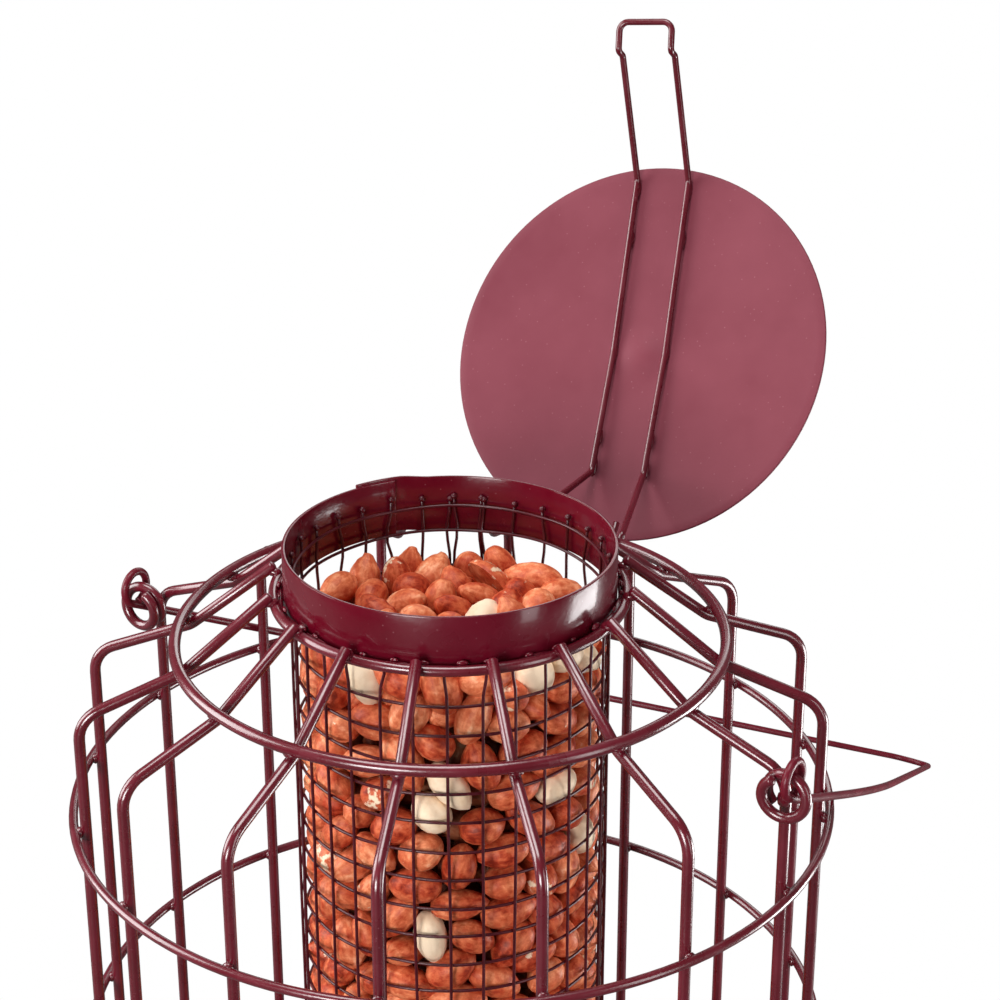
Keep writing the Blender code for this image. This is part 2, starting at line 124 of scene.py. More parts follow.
def roundedPath(points, radii, steps=7):
    # corners of a run of points turned to arcs, a radius of 0 keeps its corner
    path = [Vector(points[0])]
    for before, corner, after, radius in zip(points, points[1:], points[2:], radii):
        corner = Vector(corner)
        if radius == 0:
            path.append(corner)
            continue
        back = (Vector(before) - corner).normalized()
        ahead = (Vector(after) - corner).normalized()
        half = back.angle(ahead) / 2
        centre = corner + (back + ahead).normalized() * (radius / math.sin(half))
        start = corner + back * (radius / math.tan(half)) - centre
        axis = start.cross(corner - centre)
        swing = math.pi - 2 * half
        path += [centre + Matrix.Rotation(swing * i / steps, 3, axis) @ start for i in range(steps + 1)]
    path.append(Vector(points[-1]))
    return path


wireEnd = {"inset": 0.12, "size": 0.72}  # how an open end is drawn in, as shares of the wire's thickness


def wirePiece(name, runs, thick, closed=False, roundness=4):
    # drawn wire along one or more runs of points in millimetres, open ends a little rounded
    curve = bpy.data.curves.new(name, "CURVE")
    curve.dimensions = "3D"
    curve.bevel_depth = thick * mm / 2
    curve.bevel_resolution = roundness
    curve.use_fill_caps = not closed
    for run in runs:
        run = [Vector(point) for point in run]
        full = [1.0] * len(run)
        if not closed:
            inset = thick * wireEnd["inset"]
            first = (run[1] - run[0]).normalized()
            last = (run[-2] - run[-1]).normalized()
            run = [run[0], run[0] + first * inset] + run[1:-1] + [run[-1] + last * inset, run[-1]]
            full = [wireEnd["size"]] + [1.0] * (len(run) - 2) + [wireEnd["size"]]
        spline = curve.splines.new("POLY")
        spline.points.add(len(run) - 1)
        for spot, point, size in zip(spline.points, run, full):
            spot.co = (*(point * mm), 1.0)
            spot.radius = size
        spline.use_cyclic_u = closed
    piece = bpy.data.objects.new(name, curve)
    bpy.context.scene.collection.objects.link(piece)
    onlyThis(piece)
    bpy.ops.object.convert(target="MESH")
    return tidied(bpy.context.object)


def lineOf(name, points):
    # a new piece whose mesh is one open line of points in millimetres
    bpy.ops.mesh.primitive_plane_add(size=1.0)
    piece = bpy.context.object
    piece.name = name
    editing(piece, "SELECT")
    bpy.ops.mesh.delete(type="VERT")
    bpy.ops.object.mode_set(mode="OBJECT")
    spots = [tuple(value * mm for value in point) for point in points]
    piece.data.from_pydata(spots, [(i, i + 1) for i in range(len(spots) - 1)], [])
    return piece


def spunPiece(name, profile, steps):
    # a profile of (radius, height) in millimetres, from axis to axis, spun round Z into a closed solid
    piece = lineOf(name, [(radius, 0.0, height) for radius, height in profile])
    editing(piece, "SELECT")
    bpy.ops.mesh.spin(steps=steps, angle=math.tau, center=(0, 0, 0), axis=(0, 0, 1))
    return tidied(piece)


def beadsAlong(name, places, size):
    # blobs of weld under the paint: one is squashed by size in millimetres and copied to each place
    bpy.ops.mesh.primitive_ico_sphere_add(subdivisions=2, radius=mm)
    bead = bpy.context.object
    editing(bead, "SELECT")
    bpy.ops.transform.resize(value=size)
    onlyThis(bead)
    bpy.ops.object.shade_smooth()
    beads = [copyAt(bead, place) for place in places]
    thrownAway(bead)
    return joined(name, beads)


def ringPoints(radius, height, count):
    turns = [math.tau * i / count for i in range(count)]
    return [(radius * math.cos(a), radius * math.sin(a), height) for a in turns]


# shader helpers

def node(tree, kind, place, **values):
    made = tree.nodes.new(kind)
    made.location = place
    for key, value in values.items():
        if hasattr(made, key):
            setattr(made, key, value)
        else:
            made.inputs[key].default_value = value
    return made


def worked(tree, place, operation, *values):
    # a math node whose values are numbers or sockets
    made = node(tree, "ShaderNodeMath", place, operation=operation)
    for socket, value in zip(made.inputs, values):
        if isinstance(value, float):
            socket.default_value = value
        else:
            tree.links.new(value, socket)
    return made.outputs[0]


def remapped(tree, place, source, edges, ends=(0.0, 1.0)):
    # a value stretched so that its edges reach the two ends
    made = node(tree, "ShaderNodeMapRange", place)
    for name, value in zip(("From Min", "From Max", "To Min", "To Max"), (*edges, *ends)):
        made.inputs[name].default_value = value
    tree.links.new(source, made.inputs["Value"])
    return made.outputs["Result"]


def blended(tree, place, share, first, second, kind="MIX"):
    # two colours blended, each a socket or a plain colour
    made = node(tree, "ShaderNodeMix", place, data_type="RGBA", blend_type=kind)
    for name, value in (("Factor", share), ("A", first), ("B", second)):
        if isinstance(value, (float, tuple)):
            made.inputs[name].default_value = value
        else:
            tree.links.new(value, made.inputs[name])
    return made.outputs["Result"]


def noise(tree, place, source, **values):
    made = node(tree, "ShaderNodeTexNoise", place, **values)
    tree.links.new(source, made.inputs["Vector"])
    return made.outputs["Fac"]


def ramp(tree, place, source, stops):
    # a colour ramp of (position, colour) stops, from lowest to highest
    made = node(tree, "ShaderNodeValToRGB", place)
    marks = made.color_ramp.elements
    for mark, (position, colour) in zip(marks, (stops[0], stops[-1])):
        mark.position = position
        mark.color = (*colour, 1.0)
    for position, colour in stops[1:-1]:
        marks.new(position).color = (*colour, 1.0)
    tree.links.new(source, made.inputs["Fac"])
    return made.outputs["Color"]


# powder coat: one group for the surface, and a look for each kind of piece

coatPattern = {
    "mottle": (0.35, 0.68), "mottleRough": 0.14, "mottleHeight": 0.6,
    "specks": 420.0, "speckEdges": (0.10, 0.04), "speckShare": 0.25, "speckColour": (0.42, 0.20, 0.23, 1.0),
    "bumpHeight": 0.0003,
}


def wineCoatGroup():
    # soft mottle, orange peel and pale specks
    group = bpy.data.node_groups.new("wineCoatSurface", "ShaderNodeTree")
    sockets = (
        ("Place", "INPUT", "Vector"), ("Body Colour", "INPUT", "Color"), ("Thin Colour", "INPUT", "Color"),
        ("Mottle Size", "INPUT", "Float"), ("Peel Size", "INPUT", "Float"),
        ("Base Roughness", "INPUT", "Float"), ("Colour", "OUTPUT", "Color"),
        ("Roughness", "OUTPUT", "Float"), ("Height", "OUTPUT", "Float"),
    )
    for name, way, kind in sockets:
        group.interface.new_socket(name, in_out=way, socket_type="NodeSocket" + kind)
    into = node(group, "NodeGroupInput", (-1000, 0)).outputs
    out = node(group, "NodeGroupOutput", (900, 0)).inputs
    join = group.links.new
    mottle = node(group, "ShaderNodeTexNoise", (-700, 300), Detail=4.0, Roughness=0.6)
    peel = node(group, "ShaderNodeTexNoise", (-700, 0), Detail=2.0, Roughness=0.5)
    specks = node(group, "ShaderNodeTexVoronoi", (-700, -300), Scale=coatPattern["specks"], Randomness=1.0)
    for texture in (mottle, peel, specks):
        join(into["Place"], texture.inputs["Vector"])
    join(into["Mottle Size"], mottle.inputs["Scale"])
    join(into["Peel Size"], peel.inputs["Scale"])
    spread = remapped(group, (-400, 300), mottle.outputs["Fac"], coatPattern["mottle"])
    base = blended(group, (-100, 300), spread, into["Body Colour"], into["Thin Colour"])
    ends = (0.0, coatPattern["speckShare"])
    dust = remapped(group, (-400, -300), specks.outputs["Distance"], coatPattern["speckEdges"], ends)
    join(blended(group, (200, 300), dust, base, coatPattern["speckColour"]), out["Colour"])
    rough = (spread, coatPattern["mottleRough"], into["Base Roughness"])
    join(worked(group, (200, 0), "MULTIPLY_ADD", *rough), out["Roughness"])
    tall = (spread, coatPattern["mottleHeight"], peel.outputs["Fac"])
    join(worked(group, (200, -200), "MULTIPLY_ADD", *tall), out["Height"])
    return group


def coatMaterial(name, look):
    made = bpy.data.materials.new(name)
    made.use_nodes = True
    tree = made.node_tree
    shader = tree.nodes["Principled BSDF"].inputs
    where = node(tree, "ShaderNodeTexCoord", (-900, 0))
    coat = node(tree, "ShaderNodeGroup", (-600, 0), node_tree=wineCoat)
    coat.inputs["Body Colour"].default_value = (*look["body"], 1.0)
    coat.inputs["Thin Colour"].default_value = (*look["thin"], 1.0)
    coat.inputs["Mottle Size"].default_value = look["mottle"]
    coat.inputs["Peel Size"].default_value = look["peel"]
    coat.inputs["Base Roughness"].default_value = look["rough"]
    tall = coatPattern["bumpHeight"]
    bump = node(tree, "ShaderNodeBump", (-300, -200), Strength=look["bump"], Distance=tall)
    tree.links.new(where.outputs["Object"], coat.inputs["Place"])
    tree.links.new(coat.outputs["Colour"], shader["Base Color"])
    tree.links.new(coat.outputs["Roughness"], shader["Roughness"])
    tree.links.new(coat.outputs["Height"], bump.inputs["Height"])
    tree.links.new(bump.outputs["Normal"], shader["Normal"])
    shader["Coat Weight"].default_value = look["coat"]
    shader["Coat Roughness"].default_value = look["coatRough"]
    shader["Specular IOR Level"].default_value = look["shine"]
    shader["IOR"].default_value = 1.5
    return made


coatLooks = {
    "bail": {
        "body": (0.105, 0.003, 0.011), "thin": (0.140, 0.007, 0.018), "mottle": 90.0, "peel": 1400.0,
        "rough": 0.30, "bump": 0.22, "coat": 0.0, "shine": 0.30, "coatRough": 0.15,
    },
    "cage": {
        "body": (0.092, 0.002, 0.008), "thin": (0.124, 0.004, 0.014), "mottle": 90.0, "peel": 1400.0,
        "rough": 0.22, "bump": 0.18, "coat": 1.0, "shine": 0.4, "coatRough": 0.19,
    },
    "collar": {
        "body": (0.088, 0.001, 0.007), "thin": (0.110, 0.003, 0.012), "mottle": 45.0, "peel": 700.0,
        "rough": 0.16, "bump": 0.14, "coat": 0.3, "shine": 0.3, "coatRough": 0.07,
    },
    "lid": {
        # the lid's body and thin colours are wine lifted paler and pinker: partly the coat's own colour,
        # partly painted sheen for the disc's broad soft reflection
        "body": (0.140, 0.023, 0.037), "thin": (0.172, 0.034, 0.051), "mottle": 24.0, "peel": 900.0,
        "rough": 0.44, "bump": 0.08, "coat": 0.0, "shine": 0.20, "coatRough": 0.14,
    },
    "lidWire": {
        "body": (0.076, 0.001, 0.006), "thin": (0.100, 0.003, 0.011), "mottle": 90.0, "peel": 1400.0,
        "rough": 0.22, "bump": 0.16, "coat": 0.6, "shine": 0.35, "coatRough": 0.18,
    },
    "meshWire": {
        "body": (0.048, 0.001, 0.005), "thin": (0.072, 0.003, 0.009), "mottle": 160.0, "peel": 1900.0,
        "rough": 0.28, "bump": 0.25, "coat": 0.25, "shine": 0.3, "coatRough": 0.12,
    },
}
wineCoat = wineCoatGroup()
coatOf = {key: coatMaterial("wine_" + key, look) for key, look in coatLooks.items()}
print("stage: wine powder coat materials")


nutLook = {
    # the streaks run along each nut on its own map, and shift from nut to nut
    "around": 13.0, "along": 2.2, "shift": 61.0,
    "streaks": {"Scale": 1.0, "Detail": 5.0, "Roughness": 0.65},
    "patches": {"Scale": 190.0, "Detail": 5.0, "Roughness": 0.62},
    "veins": {"Scale": 760.0, "Detail": 4.0, "Roughness": 0.6, "Distortion": 0.8},
    "torn": {"Scale": 210.0, "Detail": 4.0, "Roughness": 0.6},
    "edges": (0.37, 0.63), "toneShare": 0.34, "toneStart": -0.11,
    "shares": {"streaks": 0.24, "patches": 0.36, "veins": 0.16},
    "skin": [
        (0.03, (0.23, 0.018, 0.007)), (0.24, (0.47, 0.066, 0.026)), (0.52, (0.68, 0.185, 0.080)),
        (0.74, (0.88, 0.360, 0.185)), (0.95, (1.00, 0.680, 0.460)),
    ],
    "flesh": [(0.25, (0.74, 0.57, 0.36)), (0.55, (0.92, 0.84, 0.65))],
    "bareEdges": (0.735, 0.775), "tint": (1.0, 0.86, 0.80), "rough": (0.33, 0.55),
    "relief": 0.6, "bump": 0.45, "bumpHeight": 0.0006, "shine": 0.36, "shineTint": (1.0, 0.82, 0.70, 1.0),
}


def nutMaterial(name, paintedShadeFactor):
    # papery red skin and a share of bare flesh from each nut's attributes, times a tint that a factor below 1
    # darkens into painted shade
    made = bpy.data.materials.new(name)
    made.use_nodes = True
    tree = made.node_tree
    join = tree.links.new
    shader = tree.nodes["Principled BSDF"].inputs
    unwrapped = node(tree, "ShaderNodeUVMap", (-1500, 0), uv_map="UVMap")
    where = node(tree, "ShaderNodeTexCoord", (-1500, -300)).outputs["Object"]
    tone = node(tree, "ShaderNodeAttribute", (-1500, 300), attribute_name="nutTone").outputs["Fac"]
    bareness = node(tree, "ShaderNodeAttribute", (-1500, 600), attribute_name="nutBare").outputs["Fac"]
    apart = node(tree, "ShaderNodeSeparateXYZ", (-1300, 0))
    join(unwrapped.outputs["UV"], apart.inputs[0])
    lengthways = node(tree, "ShaderNodeCombineXYZ", (-1100, 0))
    parts = (("X", apart.outputs["X"], "around"), ("Y", apart.outputs["Y"], "along"), ("Z", tone, "shift"))
    for i, (name, value, stretch) in enumerate(parts):
        scaled = worked(tree, (-1200, 100 - i * 200), "MULTIPLY", value, nutLook[stretch])
        join(scaled, lengthways.inputs[name])
    textures = {
        "streaks": noise(tree, (-900, 0), lengthways.outputs[0], **nutLook["streaks"]),
        "patches": noise(tree, (-900, -300), where, **nutLook["patches"]),
        "veins": noise(tree, (-900, -600), where, **nutLook["veins"]),
    }
    torn = noise(tree, (-900, 600), where, **nutLook["torn"])
    total = worked(tree, (-500, 100), "MULTIPLY_ADD", tone, nutLook["toneShare"], nutLook["toneStart"])
    for i, (label, share) in enumerate(nutLook["shares"].items()):
        wider = remapped(tree, (-700, -20 - i * 120), textures[label], nutLook["edges"])
        total = worked(tree, (-420 + i * 80, -20 - i * 120), "MULTIPLY_ADD", wider, share, total)
    skin = ramp(tree, (-300, 100), total, nutLook["skin"])
    flesh = ramp(tree, (-300, 400), textures["patches"], nutLook["flesh"])
    bare = worked(tree, (-600, 600), "ADD", torn, bareness)
    edge = remapped(tree, (-400, 600), bare, nutLook["bareEdges"])
    mixed = blended(tree, (0, 200), edge, skin, flesh)
    # the tint scaled by the factor: at 1 the skin's own tint, below 1 painted shade
    shade = (*(paintedShadeFactor * value for value in nutLook["tint"]), 1.0)
    join(blended(tree, (200, 200), 1.0, mixed, shade, "MULTIPLY"), shader["Base Color"])
    join(remapped(tree, (0, -100), textures["streaks"], (0.0, 1.0), nutLook["rough"]), shader["Roughness"])
    relief = worked(tree, (-100, -400), "MULTIPLY_ADD", textures["streaks"], nutLook["relief"], torn)
    bump = node(tree, "ShaderNodeBump", (100, -400), Strength=nutLook["bump"], Distance=nutLook["bumpHeight"])
    join(relief, bump.inputs["Height"])
    join(bump.outputs["Normal"], shader["Normal"])
    shader["Specular IOR Level"].default_value = nutLook["shine"]
    shader["Specular Tint"].default_value = nutLook["shineTint"]
    shader["IOR"].default_value = 1.45
    return made


nutSkin = nutMaterial("redskin_nuts", 1.0)
# the same nuts darkened to about a quarter: painted shade for the nuts deep in the heap
nutPaintedShade = nutMaterial("redskin_nuts_painted_shade", 0.26)
print("stage: peanut materials")


# cage: sixteen wires over the neck ring, under the upper ring and down to the foot

cage = {
    "wires": 16,
    "thick": 2.8,
    "corners": [(43.93, 252.53), (65.68, 234.792), (91.5, 225.0), (91.5, 1.4), (41.3, 1.4)],
    "bends": (6.0, 8.0, 8.0),
    "ringSteps": 144,
}


def cageWires():
    path = roundedPath([(r, 0.0, z) for r, z in cage["corners"]], cage["bends"])
    wire = wirePiece("cageWire", [path], cage["thick"])
    for i in range(cage["wires"]):
        twin = copyAt(wire, Matrix.Rotation(math.tau * i / cage["wires"], 4, "Z"))
        twin.name = f"cageWire{i + 1:02d}"
        handIn(twin, coatOf["cage"], "wine_powder_coat", "feeder", f"cage_wire_{i + 1:02d}")
    thrownAway(wire)


rings = {
    # radius, height and thickness, then where the welds sit (radius, height) and how big they are
    "neck_ring": (42.9, 249.5, 2.6, (43.9, 250.8), (1.9, 1.3, 1.2)),
    "upper_ring": (67.3, 237.6, 3.0, (66.7, 236.0), (1.5, 2.1, 1.0)),
    "shoulder_hoop": (94.35, 194.0, 2.3, (93.1, 194.0), (0.9, 1.5, 1.5)),
    "middle_hoop": (94.35, 127.0, 2.3, (93.1, 127.0), (0.9, 1.5, 1.5)),
    "lower_hoop": (94.35, 60.0, 2.3, (93.1, 60.0), (0.9, 1.5, 1.5)),
    "base_ring": (42.3, 4.4, 2.6, (42.3, 2.95), (1.6, 1.4, 0.8)),
}


def weldedRings():
    for name, (radius, height, thick, weld, bead) in rings.items():
        circle = ringPoints(radius, height, cage["ringSteps"])
        loop = wirePiece(name + "_wire", [circle], thick, closed=True)
        spots = []
        for i in range(cage["wires"]):
            turn = Matrix.Rotation(math.tau * i / cage["wires"], 4, "Z")
            spots.append(turn @ Matrix.Translation((weld[0] * mm, 0.0, weld[1] * mm)))
        piece = joined(name + "_welded", [loop, beadsAlong(name + "_welds", spots, bead)])
        handIn(piece, coatOf["cage"], "wine_powder_coat", "feeder", name)


cageWires()
weldedRings()
print("stage: cage")


# eyelets wound from thick wire at the two side bends

eyelets = {
    "x": 93.5, "z": 222.7, "near": -3.05, "pitch": 3.0, "radius": 5.24, "thick": 2.7,
    "turns": 1.3, "start": 225.0, "steps": 56, "weld": (91.6, -1.5, 219.6), "bead": (1.7, 1.2, 2.4),
}


def eyelet(side):
    points = []
    for i in range(eyelets["steps"] + 1):
        turn = eyelets["turns"] * i / eyelets["steps"]
        angle = math.radians(eyelets["start"]) - math.tau * turn
        points.append((
            side * (eyelets["x"] + eyelets["radius"] * math.cos(angle)),
            eyelets["near"] - eyelets["pitch"] * turn,
            eyelets["z"] + eyelets["radius"] * math.sin(angle),
        ))
    name = "eyelet_right" if side > 0 else "eyelet_left"
    loop = wirePiece(name + "_turn", [points], eyelets["thick"], roundness=5)
    x, y, z = eyelets["weld"]
    weld = beadsAlong(name + "_weld", [Matrix.Translation((side * x * mm, y * mm, z * mm))], eyelets["bead"])
    handIn(joined(name + "_wound", [loop, weld]), coatOf["cage"], "wine_powder_coat", "feeder", name)


eyelet(1)
eyelet(-1)


# collar: one strip of sheet bent round the mouth, its outer end lapped over its inner end

collar = {
    "rim": 262.0, "height": 15.0, "sheet": 0.85, "edge": 0.22, "radius": 40.15, "steps": 151,
    # the lap: where the inner end is, how far the ends overlap, and how the outer end climbs over
    "innerEnd": 143.0, "lap": 15.0, "climbFrom": 348.0, "climb": 10.0, "lapRise": 0.78, "lapLift": 0.55,
    # drops of weld, and the wavy fillet under them
    "drops": 34, "dropOut": 41.55, "dropHeight": 250.9, "dropSize": (0.7, 1.35), "dropForm": (0.5, 1.3, 0.7),
    "filletOut": 41.4, "filletHeight": 249.3, "fillet": 1.5, "filletSteps": 180, "seed": 8,
    # the fillet's waves, each a size, how many go round and where it starts
    "outWaves": ((0.12, 13, 0.0), (0.08, 29, 1.0)), "liftWaves": ((0.3, 9, 0.0), (0.2, 23, 0.0)),
}


def collarStrip():
    points = []
    for turn in np.linspace(collar["innerEnd"], collar["innerEnd"] + 360.0 + collar["lap"], collar["steps"]):
        over = min(1.0, max(0.0, (turn - collar["innerEnd"] - collar["climbFrom"]) / collar["climb"]))
        out = collar["radius"] + over * over * (3 - 2 * over) * collar["lapRise"]
        bearing = math.radians(float(turn))
        top = collar["rim"] + over * collar["lapLift"]
        points.append((out * math.cos(bearing), out * math.sin(bearing), top))
    strip = lineOf("collarStrip", points)
    editing(strip, "SELECT")
    bpy.ops.mesh.extrude_region_move(TRANSFORM_OT_translate={"value": (0, 0, -collar["height"] * mm)})
    bpy.ops.mesh.select_all(action="SELECT")
    bpy.ops.mesh.normals_make_consistent(inside=False)
    applied(strip, "SOLIDIFY", thickness=collar["sheet"] * mm, offset=0.0)
    sharp = math.radians(50)
    applied(strip, "BEVEL", width=collar["edge"] * mm, segments=2, limit_method="ANGLE", angle_limit=sharp)
    return tidied(strip, 40)


def collarDrops():
    drops = []
    chance = random.Random(collar["seed"])
    for i in range(collar["drops"]):
        bearing = math.radians(i * 360.0 / collar["drops"] + chance.uniform(-4, 4))
        size = chance.uniform(*collar["dropSize"])
        height = collar["dropHeight"] - chance.uniform(0.0, 0.3)
        place = Matrix.Rotation(bearing, 4, "Z")
        place = place @ Matrix.Translation((collar["dropOut"] * mm, 0.0, height * mm))
        drops.append(place @ Matrix.Diagonal((*(size * share for share in collar["dropForm"]), 1.0)))
    return beadsAlong("collarWeld", drops, (1.0, 1.0, 1.0))


def waving(waves, a):
    return sum(size * math.sin(count * a + start) for size, count, start in waves)


def collarFillet():
    run = []
    for i in range(collar["filletSteps"]):
        a = math.tau * i / collar["filletSteps"]
        out = collar["filletOut"] + waving(collar["outWaves"], a)
        height = collar["filletHeight"] + waving(collar["liftWaves"], a)
        run.append((out * math.cos(a), out * math.sin(a), height))
    return wirePiece("collarFillet", [run], collar["fillet"], closed=True)


def weldedCollar():
    piece = joined("collarSheet", [collarStrip(), collarDrops(), collarFillet()])
    handIn(piece, coatOf["collar"], "wine_powder_coat", "feeder", "collar")


weldedCollar()
print("stage: eyelets and collar")


# mesh tube: welded net of round wires, upright ones outside, with ball ends inside the collar

net = {
    "columns": 30, "thick": 0.78, "upright": 38.78, "hoop": 38.1, "turn": 1.3, "doubled": (111.0, 123.0),
    "low": 2.9, "tip": 256.8, "unevenTip": (-0.8, 0.6), "ball": (0.78, 0.78, 0.85), "seed": 31,
    # the two hoops in the collar, then the rows below it
    "inCollar": (254.4, 247.6), "below": 237.9, "rows": 30, "pitch": 7.9, "ripple": (0.22, 0.13),
    # the uprights' slow sway and weave, and the bends by which they lean at the mouth
    "sway": 0.22, "swayOver": (31, 12), "weave": 0.05, "weaveOver": 9,
    "lean": 1.7, "leanAt": 247.5, "leanOver": 4.5, "uprightSteps": 66, "hoopSteps": 120,
}


def netUpright(bearing, tip, lean, first, second):
    run = []
    long, short = net["swayOver"]
    for z in np.linspace(net["low"], tip, net["uprightSteps"]):
        sway = net["sway"] * (math.sin(z / long + first) + 0.5 * math.sin(z / short + second))
        sway += lean * math.exp(-((z - net["leanAt"]) / net["leanOver"]) ** 2)
        a = math.radians(bearing) + sway / net["upright"]
        out = net["upright"] - net["weave"] * math.sin(z / net["weaveOver"] + second)
        run.append((out * math.cos(a), out * math.sin(a), z))
    return run


def netHoop(z, first, second):
    run = []
    for i in range(net["hoopSteps"]):
        a = math.tau * i / net["hoopSteps"]
        lift = net["ripple"][0] * math.sin(2 * a + first) + net["ripple"][1] * math.sin(7 * a + second)
        run.append((net["hoop"] * math.cos(a), net["hoop"] * math.sin(a), z + lift))
    return run


def meshTube():
    chance = random.Random(net["seed"])
    uprights = []
    tips = []
    bearings = [360.0 * i / net["columns"] + net["turn"] for i in range(net["columns"])]
    for bearing in bearings + list(net["doubled"]):
        first, second = chance.uniform(0, 6.3), chance.uniform(0, 6.3)
        tip = net["tip"] + chance.uniform(*net["unevenTip"])
        uprights.append(netUpright(bearing, tip, chance.uniform(-net["lean"], net["lean"]), first, second))
        tips.append(Matrix.Translation(Vector(uprights[-1][-1]) * mm))
    hoops = []
    for z in list(net["inCollar"]) + [net["below"] - net["pitch"] * i for i in range(net["rows"])]:
        first, second = chance.uniform(0, 6.3), chance.uniform(0, 6.3)
        hoops.append(netHoop(z, first, second))
    upright = wirePiece("netUprights", uprights, net["thick"], roundness=2)
    around = wirePiece("netHoops", hoops, net["thick"], closed=True, roundness=1)
    piece = joined("meshNet", [upright, around, beadsAlong("netTips", tips, net["ball"])])
    handIn(piece, coatOf["meshWire"], "wine_powder_coat", "feeder", "mesh_tube")


meshTube()
print("stage: mesh tube")


# tray that closes the tube's foot

tray = {
    "radius": 40.7, "height": 14.0, "wall": 1.1, "floor": 1.4, "corner": 2.0, "inside": 0.6,
    # the rounded edge, as (in from the side, down from the top)
    "edge": ((0.0, 0.4), (0.12, 0.1), (0.45, 0.0)),
}


def baseTray():
    out, wall, corner, tall = tray["radius"], tray["wall"], tray["corner"], tray["height"]
    profile = [(0.0, 0.0)]
    for i in range(7):
        a = math.radians(-90 + 15 * i)
        profile.append((out - corner + corner * math.cos(a), corner + corner * math.sin(a)))
    profile += [(out - side, tall - down) for side, down in tray["edge"]]
    profile += [(out - wall + side, tall - down) for side, down in reversed(tray["edge"])]
    inside, floor = tray["inside"], tray["floor"]
    profile += [(out - wall, floor + inside), (out - wall - inside, floor), (0.0, floor)]
    piece = spunPiece("footTray", profile, 96)
    handIn(piece, coatOf["collar"], "wine_powder_coat", "feeder", "base_tray")


baseTray()


# lid: a shallow disc with a small pressing, on one wire that ends in hooks and a latch loop

lid = {
    "hinge": (-4.146, 65.902, 237.6), "open": -125.1, "bearing": 3.6, "skew": -7.0,
    "radius": 54.2, "sheet": 0.9, "dome": 2.5, "middle": 58.032, "edge": 26.602,
    "pressing": 10.0, "sunk": 1.2, "dents": 0.35, "dentSize": 0.045,
    # the rounded rim, as (in from the side, up from the edge)
    "rimInset": 0.4, "rim": ((0.1, 0.12), (0.0, 0.45), (0.1, 0.78)),
    # the wire: its hooks, then (distance from the hinge, height) along each run, with a bend for each corner
    "thick": 1.8, "half": 7.7, "hookHalf": 13.0, "hookRadius": 2.9, "stub": 5.0,
    "run": [
        (22.594, 25.6), (58.032, 27.902), (107.9, 25.7),
        (135.591, 1.172), (135.591, -2.228), (143.15, -4.433),
    ],
    "bends": [1.2, 3.0, 6.0, 3.0, 1.4, 1.4, 2.6],
    "welds": [(24.5, 26.6), (33.0, 27.0), (58.0, 28.3), (91.0, 27.3), (105.5, 26.6)],
    "bead": (1.15, 3.2, 0.95),
}
lidTurn = Matrix.Rotation(math.radians(lid["bearing"]), 4, "Z")
lidSwing = Matrix.Rotation(math.radians(lid["open"]), 4, "X")
lidPlace = Matrix.Translation(Vector(lid["hinge"]) * mm) @ lidTurn @ lidSwing
lidSkew = Matrix.Rotation(math.radians(lid["skew"]), 4, "Z")


def domeAt(radius):
    return lid["edge"] + lid["dome"] * (1 - (radius / lid["radius"]) ** 2)


def lidDisc():
    # underside from the middle out, a rounded rim, and the top back to the middle
    under = []
    for share in np.linspace(0.0, 1.0, 13):
        radius = float(lid["pressing"] * share)
        sink = lid["sunk"] * (0.5 + 0.5 * math.cos(math.pi * share))
        under.append((radius, domeAt(radius) - sink))
    for share in np.linspace(0.25, 1.0, 16):
        radius = float(lid["radius"] * share - (lid["rimInset"] if share == 1.0 else 0.0))
        under.append((radius, domeAt(radius)))
    top = [(radius, height + lid["sheet"]) for radius, height in reversed(under)]
    rim = [(lid["radius"] - side, lid["edge"] + up) for side, up in lid["rim"]]
    piece = spunPiece("lidDome", under + rim + top, 120)
    dents = bpy.data.textures.new("lidDents", type="CLOUDS")
    dents.noise_scale = lid["dentSize"]
    applied(piece, "DISPLACE", texture=dents, strength=lid["dents"] * mm, direction="Z", mid_level=0.5)
    piece.data.transform(lidPlace @ lidSkew @ Matrix.Translation((0.0, -lid["middle"] * mm, 0.0)))
    handIn(piece, coatOf["lid"], "wine_powder_coat", "lid", "lid_disc")


def lidWire():
    out, reach = lid["hookHalf"], lid["hookRadius"]
    hook = [Vector((out, -lid["stub"], -reach))]
    for i in range(17):
        angle = math.pi * (1.5 - i / 16)
        hook.append(Vector((out, -reach * math.cos(angle), reach * math.sin(angle))))
    hook.append(Vector((out, -reach, reach)))
    run = [Vector((lid["half"], -away, up)) for away, up in lid["run"]]
    mirrored = [[Vector((-p.x, p.y, p.z)) for p in reversed(points)] for points in (run, hook)]
    skew = lidSkew.to_3x3()
    points = hook + [skew @ p for p in run + mirrored[0]] + mirrored[1]
    bends = [0.0] * (len(hook) - 2) + lid["bends"]
    wire = wirePiece("lidWireBent", [roundedPath(points, bends + bends[::-1])], lid["thick"])
    spots = []
    for away, up in lid["welds"]:
        for side in (-1, 1):
            spots.append(lidSkew @ Matrix.Translation((side * lid["half"] * mm, -away * mm, up * mm)))
    piece = joined("lidWireWelded", [wire, beadsAlong("lidWelds", spots, lid["bead"])])
    piece.data.transform(lidPlace)
    handIn(piece, coatOf["lidWire"], "wine_powder_coat", "lid", "lid_wire")


lidDisc()
lidWire()
print("stage: lid")


# bail: one wire bent to a V, slightly bowed arms, an eye at each end through its eyelet

bail = {
    "pivot": (0.0, -4.925, 227.685), "rest": -29.4, "thick": 2.1, "x": 95.3, "eye": 4.35, "turn": 325.0,
    # the right arm's corners up to the apex, before it is turned down to rest, and their bends
    "elbow": (95.3, 8.0, -4.35), "bow": (72.428, 125.12, -3.023), "apex": (0.0, 391.8, 0.0),
    "bends": (14.0, 1800.0, 7.75),
}


